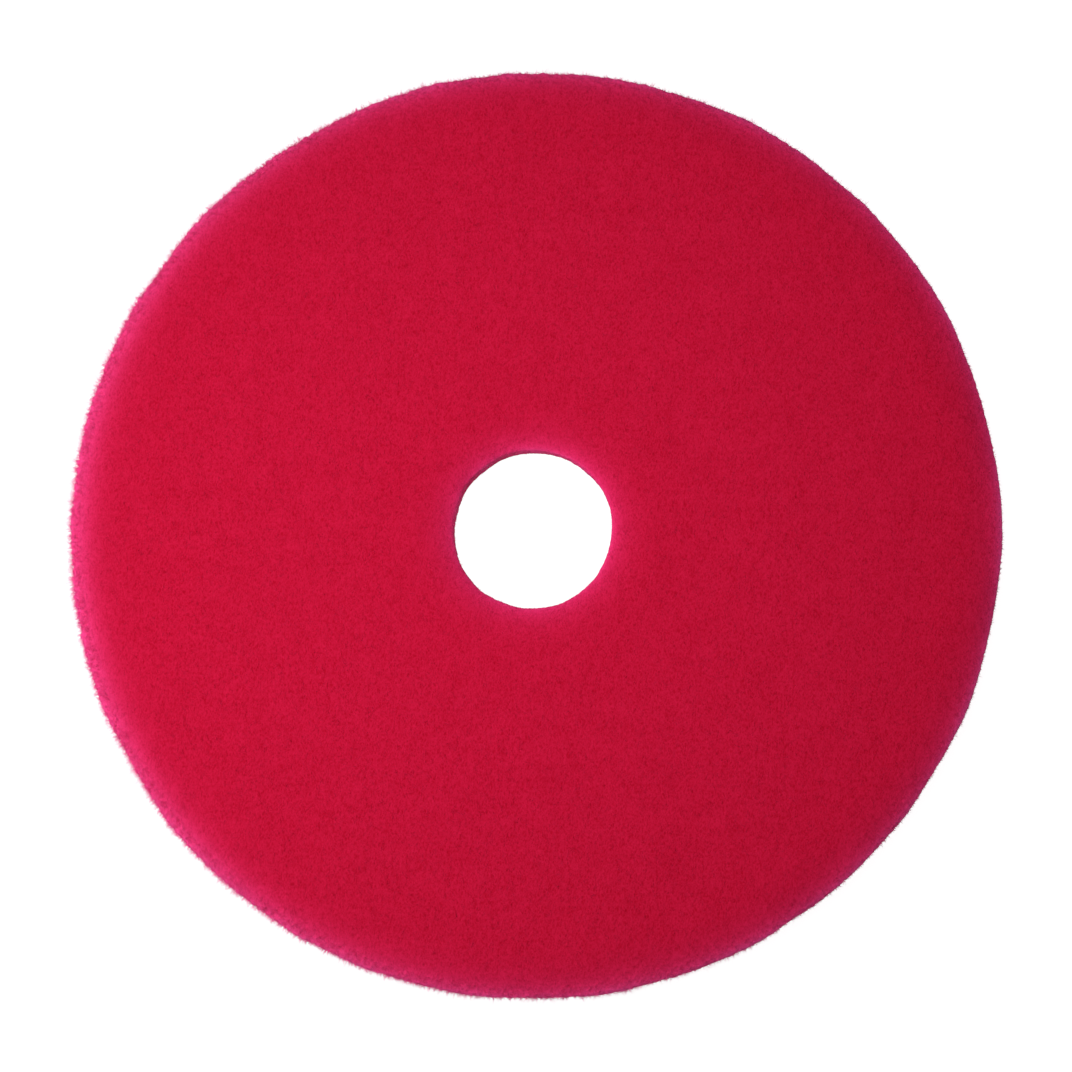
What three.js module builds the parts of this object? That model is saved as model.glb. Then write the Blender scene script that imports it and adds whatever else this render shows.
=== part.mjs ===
// Round nonwoven floor pad that a rotary floor machine spins against the floor.
// Millimetres, +Z up. The pad lies flat, with the origin at the centre of its lower face.
//
// The pad is three webs of crimped fibre, bonded face to face: a dense working face on each
// side, rich in resin, and a softer core between them. It works either way up, so the two
// face webs are alike. A hole through the centre clears the lock of the machine's pad driver.
// The faces are flat over most of their width, and fall away gently towards both cut edges.

import * as THREE from "three";

// Driving dimensions
const PAD_DIAMETER = 508;
const PAD_THICKNESS = 25;
const HOLE_DIAMETER = 85;
const FACE_WEB_THICKNESS = 8;
const BOND_GAP = 0.3; // the line along which two webs are bonded

// How far across the face each edge's rounding reaches, and how far the face drops there
const RIM_ROUNDING = { reach: 26, drop: 6.5 };
const HOLE_ROUNDING = { reach: 28, drop: 4 };

// Fineness
const SEGMENTS_AROUND = 96;
const CURVE_DIVISIONS = 3; // a quarter ellipse has twice this many sides

// Worked out
const PAD_RADIUS = PAD_DIAMETER / 2;
const HOLE_RADIUS = HOLE_DIAMETER / 2;
const CORE_BOTTOM = FACE_WEB_THICKNESS + BOND_GAP;
const CORE_TOP = PAD_THICKNESS - FACE_WEB_THICKNESS - BOND_GAP;

const workingFace = new THREE.MeshStandardMaterial({
  name: "face_web",
  color: new THREE.Color("#c01030"),
  roughness: 0.95,
  metalness: 0,
});
const looseFibre = new THREE.MeshStandardMaterial({
  name: "core_web",
  color: new THREE.Color("#d02a5c"),
  roughness: 1,
  metalness: 0,
});

// A ring from its section, a closed path of (radius, height), turned about the Z axis.
function ring(section) {
  const profile = section.getPoints(CURVE_DIVISIONS);
  const geometry = new THREE.LatheGeometry(profile, SEGMENTS_AROUND);
  return geometry.rotateX(Math.PI / 2);
}

// The section of a face web that stands on its bonded side, with its working face on top.
function faceWebSection() {
  const { reach: rimReach, drop: rimDrop } = RIM_ROUNDING;
  const { reach: holeReach, drop: holeDrop } = HOLE_ROUNDING;
  const top = FACE_WEB_THICKNESS;
  const section = new THREE.Path();
  section.moveTo(HOLE_RADIUS, 0);
  section.lineTo(PAD_RADIUS, 0);
  section.lineTo(PAD_RADIUS, top - rimDrop);
  section.absellipse(PAD_RADIUS - rimReach, top - rimDrop, rimReach, rimDrop, 0, Math.PI / 2);
  section.lineTo(HOLE_RADIUS + holeReach, top);
  section.absellipse(
    HOLE_RADIUS + holeReach, top - holeDrop, holeReach, holeDrop, Math.PI / 2, Math.PI,
  );
  section.closePath();
  return section;
}

function coreSection() {
  const section = new THREE.Path();
  section.moveTo(HOLE_RADIUS, CORE_BOTTOM);
  section.lineTo(PAD_RADIUS, CORE_BOTTOM);
  section.lineTo(PAD_RADIUS, CORE_TOP);
  section.lineTo(HOLE_RADIUS, CORE_TOP);
  section.closePath();
  return section;
}

function web(name, section, material) {
  const mesh = new THREE.Mesh(ring(section), material);
  mesh.name = name;
  return mesh;
}

const upperFaceWeb = web("upper_face_web", faceWebSection(), workingFace.clone());
upperFaceWeb.position.z = PAD_THICKNESS - FACE_WEB_THICKNESS;

const coreWeb = web("core_web", coreSection(), looseFibre);

// The lower web is the same piece turned over, so that its working face is down.
const lowerFaceWeb = web("lower_face_web", faceWebSection(), workingFace.clone());
lowerFaceWeb.rotation.x = Math.PI;
lowerFaceWeb.position.z = FACE_WEB_THICKNESS;

const floorPad = new THREE.Group();
floorPad.name = "floor_pad";
floorPad.add(upperFaceWeb, coreWeb, lowerFaceWeb);

export default floorPad;
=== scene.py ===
"""The looks of a round red nonwoven floor pad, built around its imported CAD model.

The CAD's three webs are plain rings. Here each becomes a soft, uneven mass of fibre with real
fibres laid into its surface, and the two cut edges get the fuzz that a die leaves. Metres, +Z up.
"""
import math

import bpy
import numpy as np
from mathutils import Matrix, Vector


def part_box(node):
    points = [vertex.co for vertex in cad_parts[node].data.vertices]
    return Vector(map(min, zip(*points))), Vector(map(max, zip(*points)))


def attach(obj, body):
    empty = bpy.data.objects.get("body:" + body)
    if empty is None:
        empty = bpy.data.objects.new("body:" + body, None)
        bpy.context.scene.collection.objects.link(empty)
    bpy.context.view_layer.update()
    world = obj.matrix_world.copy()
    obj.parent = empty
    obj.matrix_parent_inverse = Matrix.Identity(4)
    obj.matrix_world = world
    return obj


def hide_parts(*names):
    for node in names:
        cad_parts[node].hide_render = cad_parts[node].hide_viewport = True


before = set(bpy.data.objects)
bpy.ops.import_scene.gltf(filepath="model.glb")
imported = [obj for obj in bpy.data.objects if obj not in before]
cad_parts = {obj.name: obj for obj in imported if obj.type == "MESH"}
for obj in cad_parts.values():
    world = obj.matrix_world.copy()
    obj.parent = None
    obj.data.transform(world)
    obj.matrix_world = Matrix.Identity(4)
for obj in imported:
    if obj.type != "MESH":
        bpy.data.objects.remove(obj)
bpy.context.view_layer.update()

MM = 0.001
SEED = 20

# ---------------------------------------------------------------- sizes, from the frame

UPPER_LOW, UPPER_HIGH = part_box("upper_face_web")
CORE_LOW, CORE_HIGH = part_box("core_web")
PAD_RADIUS = UPPER_HIGH.x
THICKNESS = UPPER_HIGH.z
MIDDLE = THICKNESS / 2
HOLE_RADIUS = min(v.co.xy.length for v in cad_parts["core_web"].data.vertices)

# How far across the face each edge's rounding reaches, and how far the face drops there
RIM_REACH, RIM_DROP = 26 * MM, 6.5 * MM
HOLE_REACH, HOLE_DROP = 28 * MM, 4 * MM
PINCH_REACH, PINCH_DROP = 7 * MM, 1.2 * MM  # the die draws the hole's edge down a little more
LOFT_MARGIN = 0.5 * MM  # room left under the CAD's box for the relief and the fibres
WEB_OVERLAP = 0.1 * MM  # bonded webs sink this far into each other
LOWEST = 0.1 * MM  # the pad's own weight presses its underside flat here

# ---------------------------------------------------------------- the pad's outline


def rounding(centre_r, top, reach, drop, start, end, steps=20):
    """Points (radius, height) of an edge's quarter ellipse, from one angle to another."""
    turns = np.radians(np.linspace(start, end, steps))
    return np.column_stack([centre_r + reach * np.cos(turns),
                            top - drop + drop * np.sin(turns)])


class Outline:
    """The upper half of the pad's section, from the middle of the hole's wall, over the face, to
    the middle of the rim's wall. It gives radius, height and normal at any length s along it."""

    def __init__(self):
        rim, hole = PAD_RADIUS - LOFT_MARGIN, HOLE_RADIUS + 2 * LOFT_MARGIN
        top = THICKNESS - LOFT_MARGIN
        self.points = np.vstack([
            [[hole, MIDDLE]],
            rounding(hole + HOLE_REACH, top, HOLE_REACH, HOLE_DROP, 180, 90),
            rounding(rim - RIM_REACH, top, RIM_REACH, RIM_DROP, 90, 0),
            [[rim, MIDDLE]],
        ])
        from_hole = self.points[1:, 0] - hole
        self.points[1:, 1] -= PINCH_DROP * np.exp(-from_hole / PINCH_REACH)
        steps = np.linalg.norm(np.diff(self.points, axis=0), axis=1)
        self.at = np.concatenate([[0], np.cumsum(steps)])
        self.length = self.at[-1]

    def place(self, s):
        return (np.interp(s, self.at, self.points[:, 0]),
                np.interp(s, self.at, self.points[:, 1]))

    def normal(self, s, reach=0.4 * MM):
        r0, z0 = self.place(np.clip(s - reach, 0, self.length))
        r1, z1 = self.place(np.clip(s + reach, 0, self.length))
        size = np.hypot(r1 - r0, z1 - z0)
        return -(z1 - z0) / size, (r1 - r0) / size

    def where(self, height, outer):
        """How far along the curve the hole's wall, or the rim's, passes a height."""
        half = len(self.points) // 2
        part = slice(half, None) if outer else slice(0, half)
        z, at = self.points[part, 1], self.at[part]
        return np.interp(-height, -z, at) if outer else np.interp(height, z, at)


OUTLINE = Outline()

# ---------------------------------------------------------------- soft unevenness

# Lumps as (height in mm, size across): all over the fibre mass, at the hole, and at the rim,
# whose outline wanders
LUMPS = (0.12, 70 * MM), (0.03, 16 * MM), (0.025, 7 * MM), (0.025, 4 * MM)
HOLE_LUMPS = (0.20, 28 * MM), (0.08, 2.8 * MM)
RIM_WAVINESS = 0.35, 50 * MM
RIM_SET_BACK = 0.4  # in mm: the roughest part of the rim's wall stands back behind its cut ends
# The rim's relief, as (height in mm, what is added to it where the rim is roughest, size across)
RIM_RELIEF = (0.06, 0.14, 7 * MM), (0.10, 0.30, 2.8 * MM)
# An edge's own lumps begin this far in from it, and reach their full height over this width
RIM_ONSET = 10 * MM, 9 * MM
HOLE_ONSET = 7 * MM, 6 * MM
LOFT_LIMITS = -1.6, 0.9  # in mm


def waves(points, size, rng, count=40):
    """A smooth random field at the points, with unit spread and lumps about size across."""
    ways = rng.normal(size=(count, 3))
    ways /= np.linalg.norm(ways, axis=1)[:, None]
    ways *= (2 * math.pi / size) * rng.uniform(0.6, 1.6, (count, 1))
    phases = rng.uniform(0, 2 * math.pi, count)
    total = np.zeros(len(points))
    for way, phase in zip(ways, phases):
        total += np.cos(points @ way + phase)
    return total * math.sqrt(2 / count)


def raggedness(points):
    """From 0 to 1: how rough the die left the rim. It is roughest towards -X."""
    turn = np.arctan2(points[:, 1], points[:, 0])
    return 0.5 - 0.5 * np.cos(turn)


def near_edge(distance, onset):
    """From 0 to 1: how much of an edge's own lumps there are at a distance from it."""
    start, width = onset
    return np.clip((start - distance) / width, 0, 1)


def loft(points):
    """How far the fibre mass stands out of, or sinks below, its outline at each point."""
    rng = np.random.default_rng(SEED)
    radius = np.hypot(points[:, 0], points[:, 1])
    rim = near_edge(PAD_RADIUS - radius, RIM_ONSET)
    hole = near_edge(radius - HOLE_RADIUS, HOLE_ONSET)
    ragged = raggedness(points)
    out = np.zeros(len(points))
    for height, size in LUMPS:
        out += height * waves(points, size, rng)
    height, size = RIM_WAVINESS
    out += height * rim * waves(points, size, rng) - RIM_SET_BACK * rim * ragged
    for height, more, size in RIM_RELIEF:
        out += rim * (height + more * ragged) * waves(points, size, rng)
    for height, size in HOLE_LUMPS:
        out += height * hole * waves(points, size, rng)
    return MM * np.clip(out, *LOFT_LIMITS)


def on_surface(s, turn, flip, lift=0.0):
    """Points on the lofted surface at lengths s along the outline and angles turn, with their
    normals. flip takes the lower half of the pad, which mirrors the upper one."""
    r, z = OUTLINE.place(s)
    nr, nz = OUTLINE.normal(s)
    if flip:
        z, nz = THICKNESS - z, -nz
    around = np.column_stack([np.cos(turn), np.sin(turn)])
    base = np.column_stack([around * r[:, None], z])
    normal = np.column_stack([around * nr[:, None], nz])
    points = base + normal * (loft(base) + lift)[:, None]
    points[:, 2] = np.maximum(points[:, 2], LOWEST)
    return points, normal


# ---------------------------------------------------------------- meshes

# The webs' triangles have one size near an edge and another on the faces, and change from one
# to the other between two distances from the edge
EDGE_SPACING, FACE_SPACING = 0.85 * MM, 2.4 * MM
SPACING_CHANGE = 16 * MM, 40 * MM
TRIANGLE_HEIGHT = math.sqrt(0.75)  # of an equilateral triangle, as a part of its side
JITTER = 0.22  # how far a face web's points stray, as a part of its triangles' size
TIP_TAPER = 0.8  # a fibre's width next to its tips, as a part of its full width


def add_piece(name, points, bands, material, closing=()):
    """A piece from bands of triangles. The bands numbered in closing are bonded faces, shaded
    flat so that the walls beside them keep their own shading right up to the corner."""
    triangles = np.vstack(bands)
    smooth = np.concatenate([np.full(len(band), k not in closing)
                             for k, band in enumerate(bands)])
    mesh = bpy.data.meshes.new(name)
    mesh.vertices.add(len(points))
    mesh.vertices.foreach_set("co", np.ascontiguousarray(points, np.float32).ravel())
    mesh.loops.add(len(triangles) * 3)
    mesh.loops.foreach_set("vertex_index", np.ascontiguousarray(triangles, np.int32).ravel())
    mesh.polygons.add(len(triangles))
    mesh.polygons.foreach_set("loop_start", np.arange(0, len(triangles) * 3, 3, np.int32))
    mesh.polygons.foreach_set("use_smooth", smooth)
    mesh.update(calc_edges=True)
    mesh.validate()
    mesh.materials.append(material)
    piece = bpy.data.objects.new(name, mesh)
    bpy.context.scene.collection.objects.link(piece)
    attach(piece, "root")
    return piece


def zip_rings(first, first_count, second, second_count):
    """Triangles between two rings of evenly spaced points, which start at indices first and
    second and may have different counts."""
    ends = np.concatenate([(np.arange(first_count) + 1) / first_count,
                           (np.arange(second_count) + 1) / second_count])
    order = np.argsort(ends, kind="stable")
    on_first = order < first_count
    i = np.cumsum(on_first) - on_first
    j = np.cumsum(~on_first) - ~on_first
    near, far = first + i % first_count, second + j % second_count
    third = np.where(on_first, first + (i + 1) % first_count, second + (j + 1) % second_count)
    return np.column_stack([near, third, far])


def spacing_at(s, start, end):
    """The size of a face web's triangles at length s along the outline."""
    from_edge = np.minimum(s - start, end - s)
    return np.interp(from_edge, SPACING_CHANGE, [EDGE_SPACING, FACE_SPACING])


def face_mesh(name, flip, material):
    """A working face's web: its lofted surface follows the outline down both edges to the
    bonded plane, and a flat ring closes it there. Its triangles are finest at the edges."""
    rng = np.random.default_rng(SEED + flip)
    split = UPPER_LOW.z - WEB_OVERLAP
    start, end = OUTLINE.where(split, outer=False), OUTLINE.where(split, outer=True)
    rings = [start]
    while rings[-1] < end:
        rings.append(rings[-1] + TRIANGLE_HEIGHT * spacing_at(rings[-1], start, end))
    rings = start + (np.array(rings) - start) * (end - start) / (rings[-1] - start)
    steps = len(rings) - 1
    counts = [round(2 * math.pi * OUTLINE.place(s)[0] / spacing_at(s, start, end))
              for s in rings]
    starts = np.concatenate([[0], np.cumsum(counts)])
    s = np.repeat(rings, counts)
    turn = np.concatenate([2 * math.pi * (np.arange(n) + rng.uniform(0, 0.5)) / n
                           for n in counts])
    jitter = JITTER * spacing_at(s, start, end)
    inner = (s > start + FACE_SPACING) & (s < end - FACE_SPACING)
    s = s + inner * rng.uniform(-jitter, jitter)
    turn = turn + rng.uniform(-jitter, jitter) / OUTLINE.place(s)[0]
    points, _ = on_surface(s, turn, flip)
    bands = [zip_rings(starts[k], counts[k], starts[k + 1], counts[k + 1])
             for k in range(steps)]
    bands.append(zip_rings(starts[steps], counts[steps], starts[0], counts[0]))
    if flip:
        bands = [band[:, ::-1] for band in bands]
    return add_piece(name, points, bands, material, closing={steps})


def core_mesh(name, material):
    """The lofty middle: two walls, at the rim and in the hole, joined by flat bonded faces."""
    rng = np.random.default_rng(SEED)
    spacing = EDGE_SPACING
    low, high = CORE_LOW.z - WEB_OVERLAP, CORE_HIGH.z + WEB_OVERLAP
    levels = np.linspace(low, high, round((high - low) / spacing) + 1)
    rings, counts = [], []
    for outer in (True, False):
        for z in levels if outer else levels[::-1]:
            flip = bool(z < MIDDLE)
            s = OUTLINE.where(THICKNESS - z if flip else z, outer)
            count = round(2 * math.pi * float(OUTLINE.place(s)[0]) / spacing)
            turn = 2 * math.pi * (np.arange(count) + rng.uniform(0, 0.5)) / count
            points, _ = on_surface(np.full(count, s), turn, flip)
            rings.append(points)
            counts.append(count)
    starts = np.concatenate([[0], np.cumsum(counts)])
    total = len(counts)
    bands = [zip_rings(starts[k], counts[k], starts[(k + 1) % total], counts[(k + 1) % total])
             for k in range(total)]
    return add_piece(name, np.vstack(rings), bands, material,
                     closing={len(levels) - 1, total - 1})


def tubes(name, centres, width, material, sides=3):
    """Thin tapered tubes. centres is (fibres, points along, 3); the first and last points are
    tips. width is each fibre's diameter."""
    fibres, along, _ = centres.shape
    tangent = np.gradient(centres, axis=1)
    tangent /= np.linalg.norm(tangent, axis=2, keepdims=True)
    helper = np.where(np.abs(tangent[..., 2:]) > 0.8, [[1.0, 0, 0]], [[0, 0, 1.0]])
    across = np.cross(tangent, helper)
    across /= np.linalg.norm(across, axis=2, keepdims=True)
    up = np.cross(across, tangent)
    rings = along - 2
    taper = np.ones(rings)
    taper[[0, -1]] = TIP_TAPER
    radius = 0.5 * width[:, None, None] * taper[None, :, None]
    points = [centres[:, :1]]
    for k in range(sides):
        turn = 2 * math.pi * k / sides
        side = math.cos(turn) * across + math.sin(turn) * up
        points.append(centres[:, 1:-1] + radius * side[:, 1:-1])
    points.append(centres[:, -1:])
    points = np.concatenate(points, axis=1)
    per_fibre = points.shape[1]
    last = per_fibre - 1

    def at(ring, side):
        return 1 + (side % sides) * rings + ring

    pattern = []
    for k in range(sides):
        pattern.append((0, at(0, k + 1), at(0, k)))
        for ring in range(rings - 1):
            a, b = at(ring, k), at(ring, k + 1)
            pattern += [(a, b, b + 1), (a, b + 1, a + 1)]
        pattern.append((at(rings - 1, k), at(rings - 1, k + 1), last))
    pattern = np.array(pattern)
    triangles = (np.arange(fibres)[:, None, None] * per_fibre + pattern[None]).reshape(-1, 3)
    return add_piece(name, points.reshape(-1, 3), [triangles], material)


# ---------------------------------------------------------------- fibres

LAID_POINTS, CUT_POINTS = 6, 5  # points along a laid fibre, and along a cut end
# The least and the greatest width of each kind of fibre, in mm
LAID_WIDTHS, CUT_WIDTHS = (0.12, 0.18), (0.12, 0.20)
CARDED = 0.55  # carding lays the fibres mostly along Y: this much of their spread is left in X
LENGTH_SPREAD = 0.6, 1.4  # a laid fibre's length, as a part of what is asked for
BEND = 1.2  # the usual turn of a laid fibre from end to end, in radians
CRIMP, LIFT = (0.2, 0.6), (-0.08, 0.05)  # in mm: its sway, and its height over the surface
RISE = 0.07 * MM  # how far it rises and dips along its length
ROOT_DEPTH = 0.5 * MM  # how deep in the fibre mass a cut end starts
# How many cut ends there are, and how long they are, where the cut is neat, against where it is
# rough
NEAT_NUMBER, NEAT_LENGTH = 0.25, 0.35
TUFT_SIZE, TUFT_LEAN = 4 * MM, 0.35
STRAY, CURL = 0.30, 0.25  # how far a cut end strays from its tuft's way, and how far it curls


def random_spots(count, start, end, rng):
    """Lengths along the outline and angles, spread evenly over the surface's area."""
    s = np.linspace(start, end, 400)
    area = np.cumsum(OUTLINE.place(s)[0])
    area = (area - area[0]) / (area[-1] - area[0])
    return np.interp(rng.uniform(size=count), area, s), rng.uniform(0, 2 * math.pi, count)


def laid_fibres(name, start, end, count, length, seed, flip, material, lie=1.0):
    """Crimped fibres that lie in the surface, mostly along Y, rising out of it and dipping in.
    lie squeezes their run along the section, so that wall fibres go round the edge."""
    rng = np.random.default_rng(seed)
    s0, turn0 = random_spots(count, start, end, rng)
    heading = rng.uniform(0, 2 * math.pi, count)
    heading = np.arctan2(np.sin(heading), CARDED * np.cos(heading)) - turn0
    size = length * rng.uniform(*LENGTH_SPREAD, count)
    bend = rng.normal(0, BEND, count)
    crimp = rng.uniform(*CRIMP, count) * MM
    phase = rng.uniform(0, 2 * math.pi, count)
    t = np.linspace(-0.5, 0.5, LAID_POINTS)[None]
    angle = heading[:, None] + bend[:, None] * t
    forward = size[:, None] * t
    sway = crimp[:, None] * np.sin(phase[:, None] + 9 * t)
    ds = lie * (forward * np.cos(angle) - sway * np.sin(angle))
    dw = forward * np.sin(angle) + sway * np.cos(angle)
    s = np.clip(s0[:, None] + ds, 0, OUTLINE.length)
    turn = turn0[:, None] + dw / OUTLINE.place(s0)[0][:, None]
    lift = rng.uniform(*LIFT, (count, 1)) * MM
    lift = lift + RISE * np.sin(phase[:, None] * 1.7 + 7 * t)
    centres, _ = on_surface(s.ravel(), turn.ravel(), flip, lift.ravel())
    centres = centres.reshape(count, LAID_POINTS, 3)
    return tubes(name, centres, rng.uniform(*LAID_WIDTHS, count) * MM, material)


def fuzz(name, start, end, count, length, seed, flip, material):
    """Short cut ends that stand out of an edge, drawn together into small tufts. There are
    more of them where the die left the rim ragged."""
    rng = np.random.default_rng(seed)
    s0, turn0 = random_spots(count, start, end, rng)
    root, normal = on_surface(s0, turn0, flip, -ROOT_DEPTH)
    ragged = raggedness(root)
    kept = rng.uniform(size=count) < NEAT_NUMBER + (1 - NEAT_NUMBER) * ragged
    root, normal, ragged = root[kept], normal[kept], ragged[kept]
    count = len(root)
    tuft = np.clip(0.6 + 0.4 * waves(root, TUFT_SIZE, rng), 0.15, 1.0)
    reach = length * tuft * rng.uniform(0.4, 1.0, count)
    reach *= NEAT_LENGTH + (1 - NEAT_LENGTH) * ragged
    lean = TUFT_LEAN * np.column_stack([waves(root, TUFT_SIZE, rng) for _ in range(3)])
    way = normal + lean + rng.normal(0, STRAY, (count, 3))
    way /= np.linalg.norm(way, axis=1)[:, None]
    curl = rng.normal(0, CURL, (count, 3))
    t = np.linspace(0, 1, CUT_POINTS)[None, :, None]
    span = (reach + ROOT_DEPTH)[:, None, None]
    centres = root[:, None] + span * (way[:, None] * t + curl[:, None] * t * t)
    centres[..., 2] = np.clip(centres[..., 2], LOWEST, THICKNESS + LOFT_MARGIN)
    return tubes(name, centres, rng.uniform(*CUT_WIDTHS, count) * MM, material)


# ---------------------------------------------------------------- materials

FACE = (0.375, 0.0005, 0.0105, 1), (0.60, 0.0086, 0.050, 1)  # deep tone, bright tone
ROSE = (0.66, 0.018, 0.112, 1), (0.90, 0.036, 0.195, 1)
# Pink of the walls' loose fibre. Its tones are lifted to stand in for light shining through the
# fibres: part dye, part painted glow
PINK_WITH_PAINTED_GLOW = (0.80, 0.044, 0.210, 1), (1.00, 0.105, 0.400, 1)
SHEEN_TINT = (1.0, 0.16, 0.42, 1)
# How far the rose and the pink spread from the rim, at its -X and +X sides, and from the hole
# The rim's wider spread at -X, where the key lamp shines, is painted lit-side glow
ROSE_AND_LIT_GLOW_AT_RIM = 7.5 * MM, 5 * MM
PINK_AND_LIT_GLOW_AT_RIM = 4.6 * MM, 1.4 * MM
ROSE_AT_HOLE, PINK_AT_HOLE = 6 * MM, 0.8 * MM
ROSE_STRENGTH_AT_HOLE = 0.85
THREADS = (1.9 * MM, 0.16 * MM), (1.2 * MM, 0.14 * MM)  # (size of their wandering, half width)
SPECKLE_SIZE, CLUMP_SIZE, BLOTCH_SIZE = 0.9 * MM, 2.8 * MM, 13 * MM
# How much the mat of threads, the clumps and the blotches count for, beside the speckle's 1
MAT_WEIGHT, CLUMP_WEIGHT, BLOTCH_WEIGHT = 0.5, 0.24, 0.38
TONE_LIMITS = 0.45, 1.58  # the sums that give the deep tone and the bright tone
BUMP_STRENGTH, BUMP_HEIGHT = 0.3, 0.12 * MM


class Nodes:
    """Adds and links shader nodes in one node tree."""

    def __init__(self, owner):
        owner.use_nodes = True
        self.tree = owner.node_tree

    def first(self, kind):
        return next(n for n in self.tree.nodes if n.type == kind)

    def add(self, kind, inputs=None, **settings):
        node = self.tree.nodes.new("ShaderNode" + kind)
        for key, value in settings.items():
            setattr(node, key, value)
        for key, value in (inputs or {}).items():
            self.put(node.inputs[key], value)
        return node

    def put(self, socket, value):
        if isinstance(value, bpy.types.NodeSocket):
            self.tree.links.new(value, socket)
        else:
            socket.default_value = value

    def maths(self, operation, a, b=0.0):
        return self.add("Math", {0: a, 1: b}, operation=operation).outputs[0]

    def mix(self, factor, a, b):
        node = self.add("Mix", data_type="RGBA")
        sockets = {socket.identifier: socket for socket in node.inputs}
        self.put(sockets["Factor_Float"], factor)
        self.put(sockets["A_Color"], a)
        self.put(sockets["B_Color"], b)
        return next(x for x in node.outputs if x.identifier == "Result_Color")

    def noise(self, place, size, detail=1.0):
        """Noise from about 0 to 1, with features about size across."""
        return self.add("TexNoise", {"Vector": place, "Scale": 1 / size, "Detail": detail,
                                     "Roughness": 0.55}).outputs["Fac"]

    def fit(self, value, low, high, to_low=0.0, to_high=1.0, smooth=False):
        return self.add(
            "MapRange", {"Value": value, "From Min": low, "From Max": high,
                         "To Min": to_low, "To Max": to_high},
            interpolation_type="SMOOTHSTEP" if smooth else "LINEAR",
        ).outputs["Result"]

    def fade(self, distance, reach):
        """exp(-distance / reach)."""
        return self.maths("EXPONENT", self.maths("MULTIPLY", distance, -1 / reach))


def dye(nodes, place, tone):
    """Crimson on the faces. There is less resin towards the cut edges, so they glow rose, and the
    loose fibre of the walls is pink. At the rim both reach further on the -X side, where the key
    lamp shines: that extra spread is painted lit-side glow."""
    split = nodes.add("SeparateXYZ", {"Vector": place})
    flat = nodes.add("CombineXYZ", {"X": split.outputs["X"], "Y": split.outputs["Y"]})
    radius = nodes.add("VectorMath", {0: flat.outputs[0]}, operation="LENGTH").outputs["Value"]
    to_rim = nodes.maths("MAXIMUM", nodes.maths("SUBTRACT", PAD_RADIUS, radius), 0.0)
    to_hole = nodes.maths("MAXIMUM", nodes.maths("SUBTRACT", radius, HOLE_RADIUS), 0.0)

    def rim_fade_with_lit_side_glow(lit_side_reach, shaded_side_reach):
        """1 at the rim, fading inwards over a reach that changes from -X to +X. The longer reach
        on the -X side, where the key lamp shines, paints a lit-side glow.
        """
        rate = nodes.fit(split.outputs["X"], -PAD_RADIUS, PAD_RADIUS,
                         -1 / lit_side_reach, -1 / shaded_side_reach)
        return nodes.maths("EXPONENT", nodes.maths("MULTIPLY", to_rim, rate))

    # At the rim the rose and the pink reach further on the lit -X side: painted lit-side glow
    rose_and_lit_glow_rim, pink_and_lit_glow_rim = rim_fade_with_lit_side_glow(*ROSE_AND_LIT_GLOW_AT_RIM), rim_fade_with_lit_side_glow(*PINK_AND_LIT_GLOW_AT_RIM)
    rose_hole = nodes.maths("MULTIPLY", nodes.fade(to_hole, ROSE_AT_HOLE),
                            ROSE_STRENGTH_AT_HOLE)
    pink_hole = nodes.fade(to_hole, PINK_AT_HOLE)
    crimson, rose, pink = (nodes.mix(tone, deep, bright) for deep, bright in (FACE, ROSE, PINK_WITH_PAINTED_GLOW))
    colour = nodes.mix(nodes.maths("MAXIMUM", rose_and_lit_glow_rim, rose_hole), crimson, rose)
    return nodes.mix(nodes.maths("MAXIMUM", pink_and_lit_glow_rim, pink_hole), colour, pink)


def threads(nodes, place, size, half_width):
    """Thin crimped lines, 1 on their middle and 0 off them, wandering over about size."""
    level = nodes.maths("ABSOLUTE", nodes.maths("SUBTRACT", nodes.noise(place, size), 0.5))
    return nodes.fit(level, 0.0, half_width / size, 1.0, 0.0)


def fibre_material(name, painted_lift, sheen=0.12):
    """Matt, dyed fibre with a fine mat of threads, clumps and soft blotches. Its tone is lifted
    by the given amount: painted light wherever that amount is above 0.
    """
    material = bpy.data.materials.new(name)
    nodes = Nodes(material)
    place = nodes.add("TexCoord").outputs["Object"]
    lay = nodes.add("Mapping", {"Vector": place, "Scale": (1.0, CARDED, 1.0)}).outputs[0]
    mat = nodes.maths("MAXIMUM", *(threads(nodes, lay, *kind) for kind in THREADS))
    speckle = nodes.noise(lay, SPECKLE_SIZE, detail=2.0)
    clumps = nodes.noise(lay, CLUMP_SIZE)
    blotches = nodes.noise(place, BLOTCH_SIZE, detail=3.0)
    tone = speckle
    for pattern, weight in (mat, MAT_WEIGHT), (clumps, CLUMP_WEIGHT), (blotches, BLOTCH_WEIGHT):
        tone = nodes.maths("ADD", nodes.maths("MULTIPLY", pattern, weight), tone)
    # Shifting the tone limits lightens the colour: painted light, fill or glow, where the lift is
    # above 0
    tone = nodes.fit(tone, *(limit - painted_lift for limit in TONE_LIMITS))
    bump = nodes.add("Bump", {"Height": nodes.maths("ADD", mat, speckle),
                              "Strength": BUMP_STRENGTH, "Distance": BUMP_HEIGHT})
    shader = nodes.first("BSDF_PRINCIPLED").inputs
    nodes.put(shader["Base Color"], dye(nodes, place, tone))
    nodes.put(shader["Roughness"], nodes.fit(speckle, 0.0, 1.0, 0.86, 1.0))
    nodes.put(shader["Normal"], bump.outputs["Normal"])
    shader["Specular IOR Level"].default_value = 0.03
    shader["Sheen Weight"].default_value = sheen
    shader["Sheen Roughness"].default_value = 0.5
    shader["Sheen Tint"].default_value = SHEEN_TINT
    return material


web_material = fibre_material("bonded_web", painted_lift=0.0)
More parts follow.
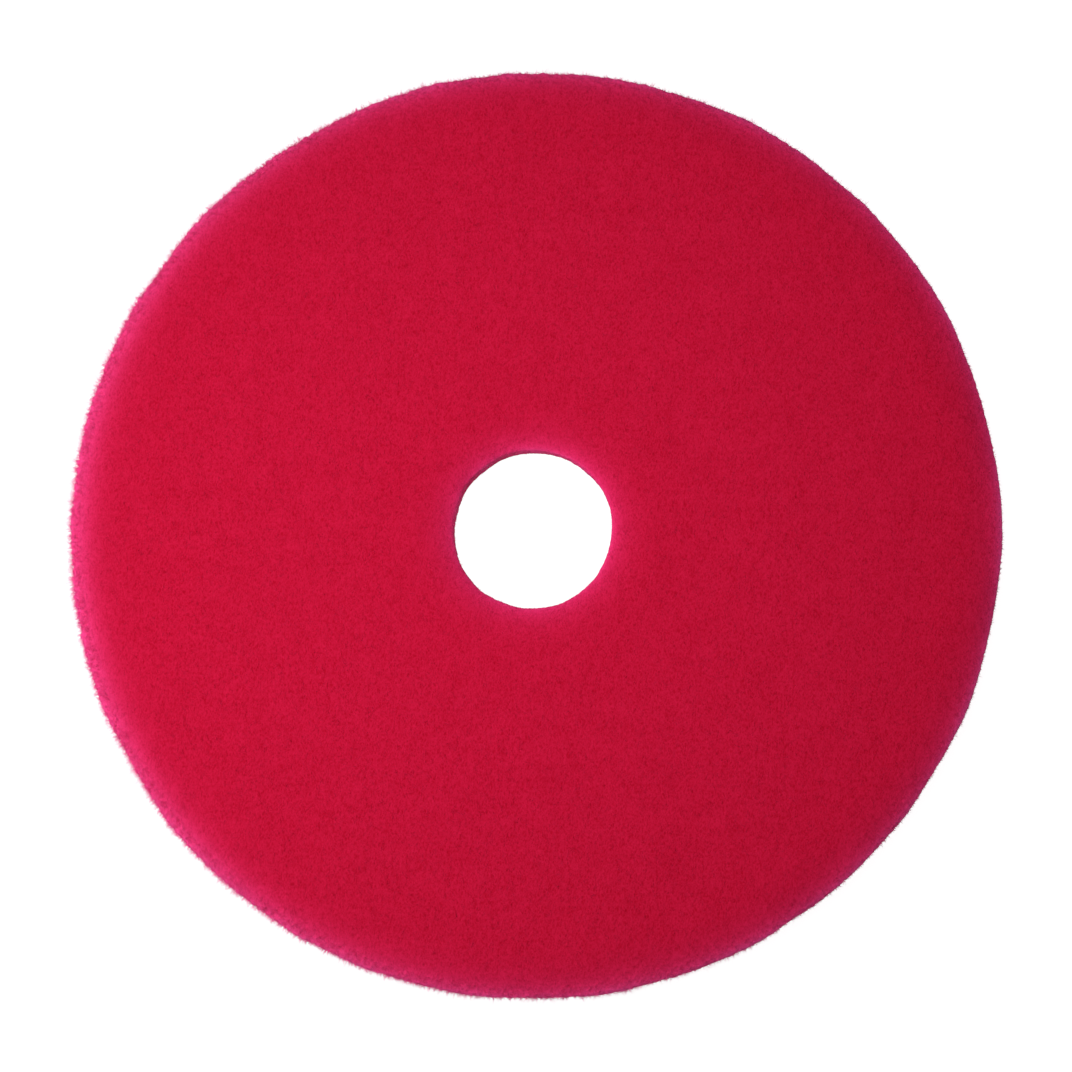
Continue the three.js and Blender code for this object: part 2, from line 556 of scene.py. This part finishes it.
# Strands are lightened a quarter of the tone range: painted fill light that softens the shadows
# beside them
strand_material_with_painted_fill = fibre_material("laid_strands_painted_fill", painted_lift=0.25)
# Cut ends are lightened most: a painted glow that stands in for light shining through the fibres
fuzz_material_with_painted_glow = fibre_material("cut_ends_painted_glow", painted_lift=0.6, sheen=0.45)

# ---------------------------------------------------------------- the pad

# How many fibres each half of the pad has, and how long they are
FACE_FIBRE_PIECES = {"upper": 6, "lower": 3}
FACE_FIBRES = 8000, 5 * MM  # in each piece
RIM_FIBRES = 5000, 6 * MM
HOLE_FIBRES = 900, 5 * MM
RIM_FUZZ_PIECES = 3
RIM_FUZZ = 17000, 4.4 * MM  # in each piece
HOLE_FUZZ = 1500, 1.4 * MM
EDGE_LIE = 0.5  # how much of their run along the section fibres on the walls keep
RIM_BAND, HOLE_BAND = 5 * MM, 3 * MM  # how far past its wall each edge's fibres are laid


def add_fibres(side, flip):
    """The fibres of one half of the pad: in its working face, its rim and its half of the hole."""
    start = OUTLINE.where(UPPER_LOW.z, outer=False)
    end = OUTLINE.where(UPPER_LOW.z, outer=True)
    for k in range(FACE_FIBRE_PIECES[side]):
        laid_fibres(f"{side}_face_fibres_{k + 1}", start, end, *FACE_FIBRES,
                            SEED + 10 + k + 10 * flip, flip, strand_material_with_painted_fill)
    rim_end = OUTLINE.length
    wall_start = rim_end - MIDDLE
    hole_end = MIDDLE + HOLE_BAND
    edges = [
        laid_fibres(f"{side}_rim_fibres", rim_end - (MIDDLE + RIM_BAND), rim_end, *RIM_FIBRES,
                    SEED + 40 + flip, flip, strand_material_with_painted_fill, lie=EDGE_LIE),
        laid_fibres(f"{side}_hole_fibres", 0, hole_end, *HOLE_FIBRES,
                    SEED + 50 + flip, flip, strand_material_with_painted_fill, lie=EDGE_LIE),
        fuzz(f"{side}_hole_fuzz", 0, hole_end, *HOLE_FUZZ,
             SEED + 70 + flip, flip, fuzz_material_with_painted_glow),
    ]
    edges += [fuzz(f"{side}_rim_fuzz_{k + 1}", wall_start, rim_end, *RIM_FUZZ,
                   SEED + 60 + k + 5 * flip, flip, fuzz_material_with_painted_glow)
              for k in range(RIM_FUZZ_PIECES)]


def build_pad():
    for side, flip in (("upper", False), ("lower", True)):
        web = face_mesh(side + "_working_face", flip, web_material)
        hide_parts(side + "_face_web")
        add_fibres(side, flip)
    core = core_mesh("lofty_core", web_material)
    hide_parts("core_web")


# ---------------------------------------------------------------- floor, light and camera

FLOOR_HALF_WIDTH = 30
FLOOR_COLOUR, FLOOR_GLOW = (0.15, 0.15, 0.15, 1), 0.97
WHITE = 1, 1, 1, 1
LIGHT_OVERHEAD, LIGHT_FROM_BELOW = 0.12, 0.35  # as parts of the light at the horizon
# Where the bright band at the horizon fades out, above and below, as sines of the elevation
BAND_TOP, BAND_BOTTOM = (0.12, 0.30), (-0.05, -0.02)
# How far off the pad's axis the camera stands, and towards which side
CAMERA_TILT, CAMERA_TOWARDS = math.radians(8.0), math.radians(-59)
CAMERA_DISTANCE, CAMERA_LENS = 2.13, 131.1
CAMERA_AIM = 1.5 * MM, -3.0 * MM, MIDDLE


def add_floor():
    """A pale studio floor that gives off most of its light itself, as a light table does."""
    size = FLOOR_HALF_WIDTH
    mesh = bpy.data.meshes.new("studio_floor")
    mesh.from_pydata([(-size, -size, 0), (size, -size, 0), (size, size, 0), (-size, size, 0)],
                     [], [(0, 1, 2, 3)])
    material = bpy.data.materials.new("pale_floor")
    nodes = Nodes(material)
    shader = nodes.first("BSDF_PRINCIPLED").inputs
    shader["Base Color"].default_value = FLOOR_COLOUR
    shader["Roughness"].default_value = 1.0
    shader["Specular IOR Level"].default_value = 0.0
    shader["Emission Color"].default_value = WHITE
    shader["Emission Strength"].default_value = FLOOR_GLOW
    mesh.materials.append(material)
    floor = bpy.data.objects.new("studio_floor", mesh)
    floor.visible_diffuse = False
    bpy.context.scene.collection.objects.link(floor)


def turn_to(thing, target):
    """Points a lamp or camera at target, with the picture's up along +Y."""
    back = (thing.location - Vector(target)).normalized()
    right = Vector((0, 1, 0)).cross(back).normalized()
    thing.rotation_euler = Matrix((right, back.cross(right), back)).transposed().to_euler()


def add_lamp(name, place, size, power):
    """A soft oval lamp that shines on the pad's centre. size is its width, and its length
    along Y."""
    data = bpy.data.lights.new(name, "AREA")
    data.shape = "ELLIPSE"
    data.size, data.size_y = size
    data.energy = power
    lamp = bpy.data.objects.new(name, data)
    lamp.location = place
    lamp.visible_camera = False
    turn_to(lamp, (0, 0, 0))
    bpy.context.scene.collection.objects.link(lamp)


def set_world():
    """Even, dim light from above and below, and a bright band at the horizon that meets the
    floor."""
    world = bpy.data.worlds.new("studio")
    nodes = Nodes(world)
    way = nodes.add("TexCoord").outputs["Generated"]
    height = nodes.add("SeparateXYZ", {"Vector": way}).outputs["Z"]
    background = nodes.first("BACKGROUND").inputs
    above = nodes.fit(height, *BAND_TOP, 1.0, LIGHT_OVERHEAD, smooth=True)
    below = nodes.fit(height, *BAND_BOTTOM, LIGHT_FROM_BELOW, 1.0)
    nodes.put(background["Strength"], nodes.maths("MULTIPLY", above, below))
    background["Color"].default_value = WHITE
    bpy.context.scene.world = world


def add_camera():
    """A long lens, nearly square on, a little below and to the right of the pad's axis."""
    across = CAMERA_DISTANCE * math.sin(CAMERA_TILT)
    data = bpy.data.cameras.new("camera")
    data.sensor_width = 36
    data.lens = CAMERA_LENS
    data.clip_end = 100
    camera = bpy.data.objects.new("camera", data)
    camera.location = (across * math.cos(CAMERA_TOWARDS), across * math.sin(CAMERA_TOWARDS),
                       CAMERA_DISTANCE * math.cos(CAMERA_TILT) + MIDDLE)
    turn_to(camera, CAMERA_AIM)
    bpy.context.scene.collection.objects.link(camera)
    bpy.context.scene.camera = camera


build_pad()
add_floor()
add_lamp("key", place=(-0.7, -0.06, 0.5), size=(0.4, 1.35), power=6.05)
add_lamp("top", place=(0.03, 0.04, 0.6), size=(0.4, 0.4), power=2.05)
set_world()
add_camera()
bpy.context.scene.view_settings.view_transform = "Standard"
